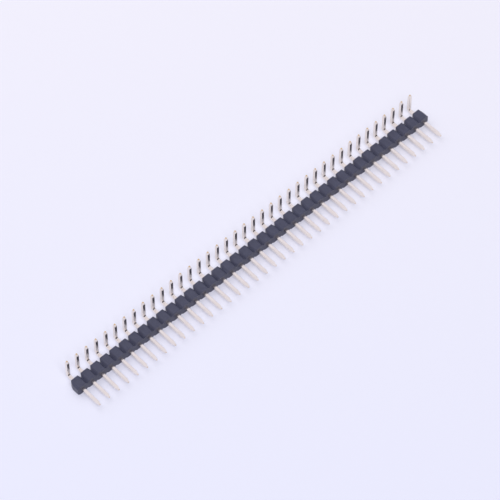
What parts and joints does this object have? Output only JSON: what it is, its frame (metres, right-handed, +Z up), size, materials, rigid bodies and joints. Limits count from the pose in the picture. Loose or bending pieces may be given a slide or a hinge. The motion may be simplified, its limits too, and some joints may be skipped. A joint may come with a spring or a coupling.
{
  "type": "right-angle pin header strip",
  "caption": "Single-row right-angle pin header strip: a black notched insulator bar with square pins that run out of its front and bend up behind it.",
  "frame": {"origin": "centre of the flat underside of the middle cell, on the surface that the strip rests on", "axes": "+X along the strip, -Y along the mating pins, +Z up along the bent solder legs"},
  "size_m": [0.078, 0.0077, 0.005],
  "materials": {
    "insulator": "satin moulded black thermoplastic",
    "pins": "polished, thin pale gold plating on brass wire"
  },
  "bodies": {
    "root": {"insulator": "insulator", "pin_01": "pins", "pin_02": "pins", "pin_03": "pins", "pin_04": "pins", "pin_05": "pins", "pin_06": "pins", "pin_07": "pins", "pin_08": "pins", "pin_09": "pins", "pin_10": "pins", "pin_11": "pins", "pin_12": "pins", "pin_13": "pins", "pin_14": "pins", "pin_15": "pins", "pin_16": "pins", "pin_17": "pins", "pin_18": "pins", "pin_19": "pins", "pin_20": "pins", "pin_21": "pins", "pin_22": "pins", "pin_23": "pins", "pin_24": "pins", "pin_25": "pins", "pin_26": "pins", "pin_27": "pins", "pin_28": "pins", "pin_29": "pins", "pin_30": "pins", "pin_31": "pins", "pin_32": "pins", "pin_33": "pins", "pin_34": "pins", "pin_35": "pins", "pin_36": "pins", "pin_37": "pins", "pin_38": "pins", "pin_39": "pins"}
  },
  "joints": []
}
